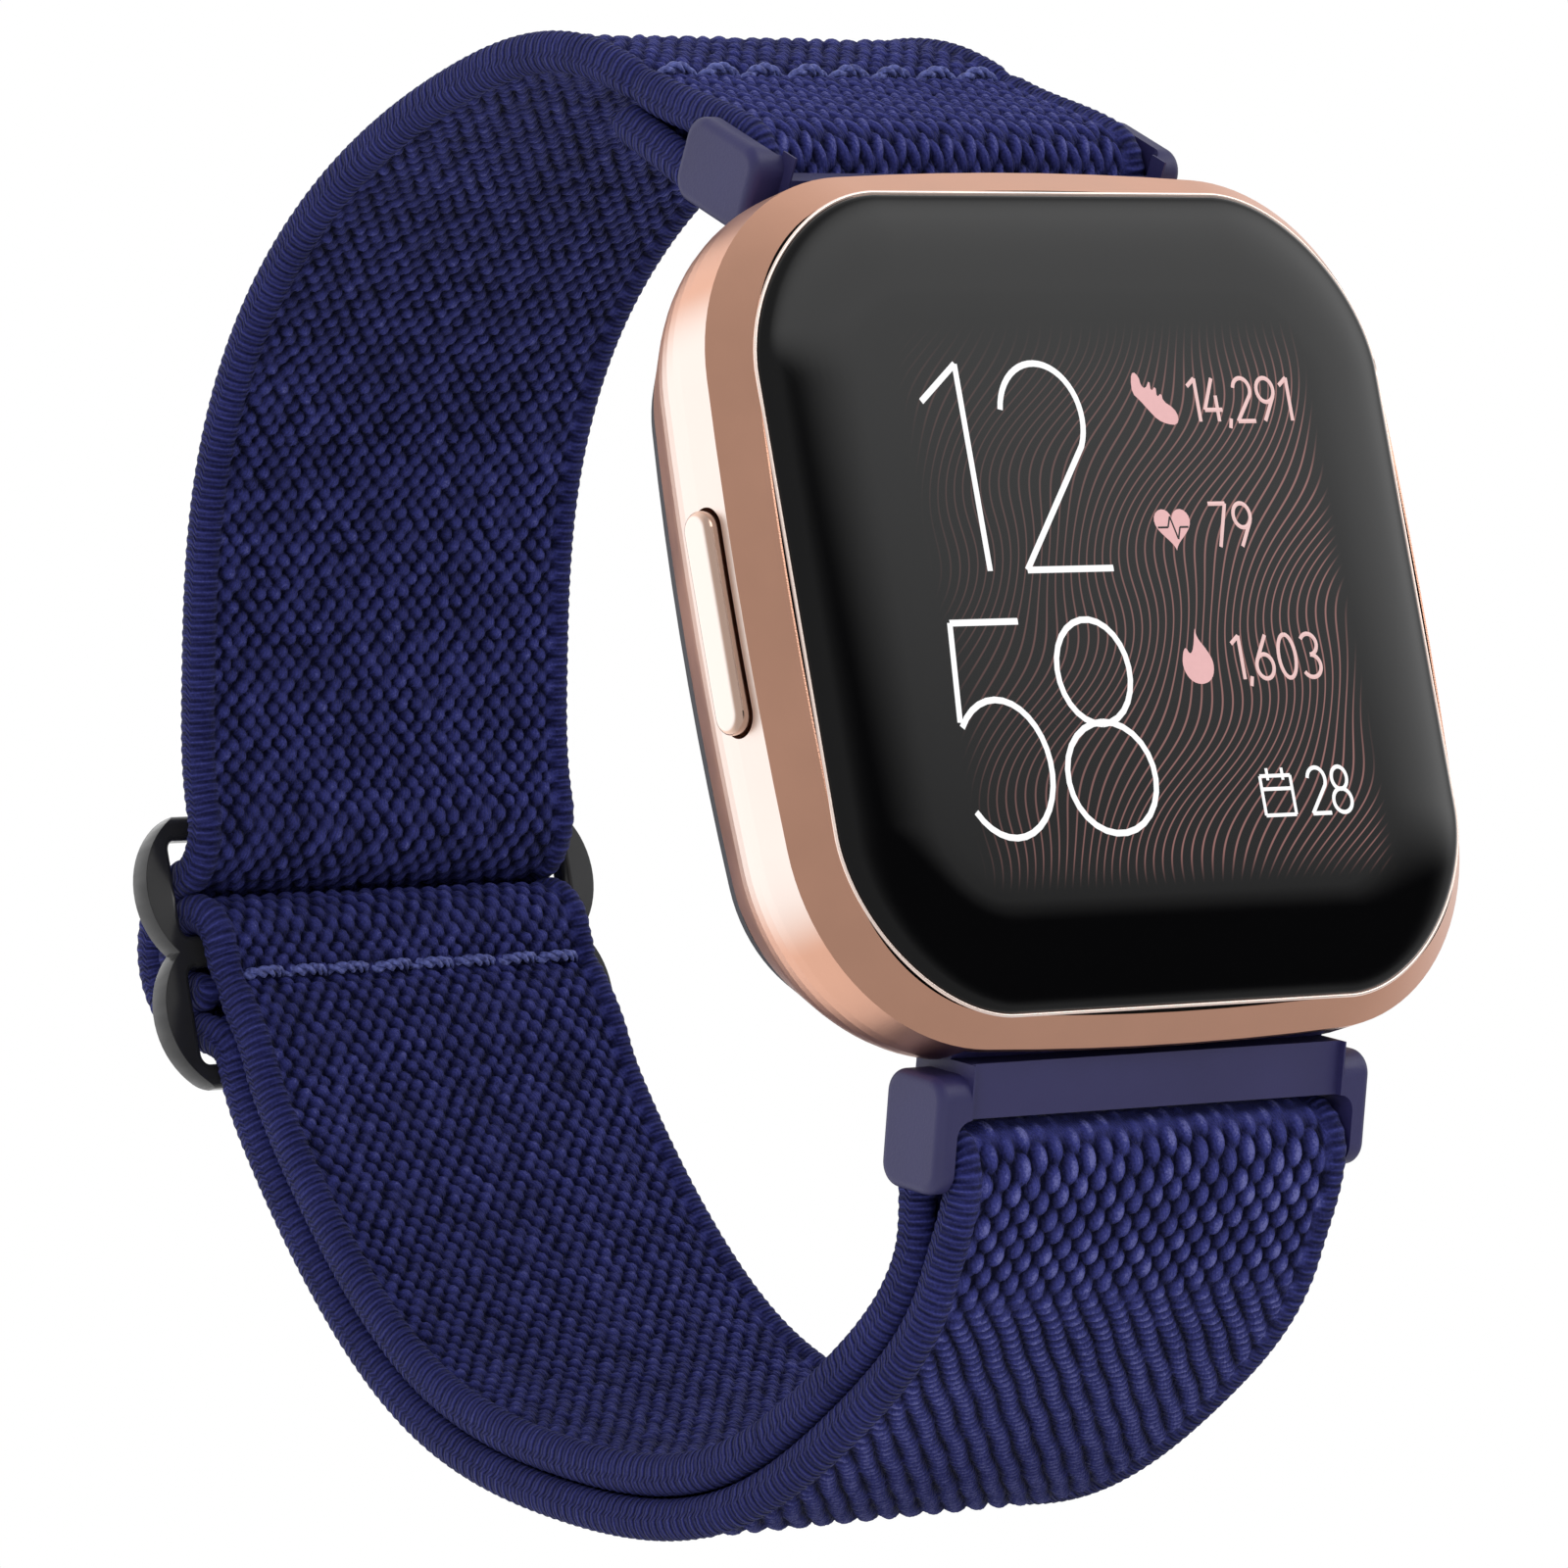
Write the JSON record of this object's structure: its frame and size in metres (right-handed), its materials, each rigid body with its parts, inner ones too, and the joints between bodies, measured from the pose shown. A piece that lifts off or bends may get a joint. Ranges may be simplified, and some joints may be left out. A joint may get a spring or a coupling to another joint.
{
  "type": "fitness tracker band",
  "caption": "Square-faced fitness tracker with a side button, on an adjustable elastic knitted band with pivoting clip-on connectors and a metal slider.",
  "frame": {"origin": "centre of the sensor window's outer face, on the wrist side of the case", "axes": "+Z to 12 o'clock, -Y out of the screen, +X to the right as the screen is read"},
  "size_m": [0.0404, 0.0635, 0.0693],
  "materials": {
    "case_metal": "satin",
    "screen_glass": "gloss",
    "display": "gloss",
    "seal": "matt",
    "board": "satin",
    "inner_plastic": "satin",
    "steel": "brushed",
    "flex": "satin",
    "cell": "matt",
    "cover_plastic": "satin",
    "sensor_glass": "gloss",
    "emitters": "gloss",
    "contact_gold": "polished",
    "connector_plastic": "matt",
    "slider_metal": "gloss",
    "knit": "knitted",
    "thread": "twisted"
  },
  "bodies": {
    "case": {"case_body": "case_metal", "cover_glass": "screen_glass", "glass_seal": "seal", "display_panel": "display", "display_flex": "flex", "mid_frame": "inner_plastic", "main_board": "board", "frame_screws": "steel", "processor_shield": "steel", "processor": "inner_plastic", "battery": "cell", "vibration_motor": "steel", "radio_antenna": "flex", "microphone": "steel", "back_cover": "cover_plastic", "back_gasket": "seal", "sensor_window": "sensor_glass", "sensor_board": "board", "sensor_leds": "emitters", "photodiodes": "emitters", "charging_contacts": "contact_gold", "sensor_flex": "flex", "button_dome": "steel", "button_switch": "inner_plastic", "band_top_flex": "knit", "band_upper": "knit", "band_upper_stretch": "knit", "band_outer_stretch": "knit", "band_outer": "knit", "band_outer_flex": "knit", "band_inner_stretch": "knit", "band_inner": "knit", "band_inner_flex": "knit"},
    "button": {"button_cap": "case_metal", "button_seal": "seal", "button_clip": "steel"},
    "top_link": {"top_connector": "connector_plastic", "top_bar_tube": "steel", "top_fixed_tip": "steel", "top_tip_spring": "steel", "band_top_loop": "knit", "top_seam": "thread"},
    "top_release": {"top_release_tip": "steel"},
    "bottom_link": {"bottom_connector": "connector_plastic", "bottom_bar_tube": "steel", "bottom_fixed_tip": "steel", "bottom_tip_spring": "steel", "band_bottom_loop": "knit"},
    "bottom_release": {"bottom_release_tip": "steel"},
    "slider": {"slider_buckle": "slider_metal", "band_slider_pass": "knit", "band_slider_loop": "knit", "slider_seam": "thread"}
  },
  "joints": [
    {"name": "button_press", "type": "slide", "parent": "case", "child": "button", "axis": [1, 0, 0], "range_m": [0, 0.0004], "deforming": ["button_dome"]},
    {"name": "top_pivot", "type": "hinge", "parent": "case", "child": "top_link", "pos_m": [0, -0.007, 0.0179], "axis": [-1, 0, 0], "range_deg": [-25, 3], "deforming": ["band_top_flex"]},
    {"name": "top_unlatch", "type": "slide", "parent": "top_link", "child": "top_release", "axis": [-1, 0, 0], "range_m": [0, 0.0013], "deforming": ["top_tip_spring"]},
    {"name": "bottom_pivot", "type": "hinge", "parent": "case", "child": "bottom_link", "pos_m": [0, -0.007, -0.0179], "axis": [1, 0, 0], "range_deg": [-6, 20], "deforming": ["band_outer_flex", "band_inner_flex"]},
    {"name": "bottom_unlatch", "type": "slide", "parent": "bottom_link", "child": "bottom_release", "axis": [1, 0, 0], "range_m": [0, 0.0013], "deforming": ["bottom_tip_spring"]},
    {"name": "slider_shift", "type": "slide", "parent": "case", "child": "slider", "axis": [0, 0, 1], "range_m": [-0.004, 0.004], "deforming": ["band_upper_stretch", "band_outer_stretch", "band_inner_stretch"]}
  ]
}
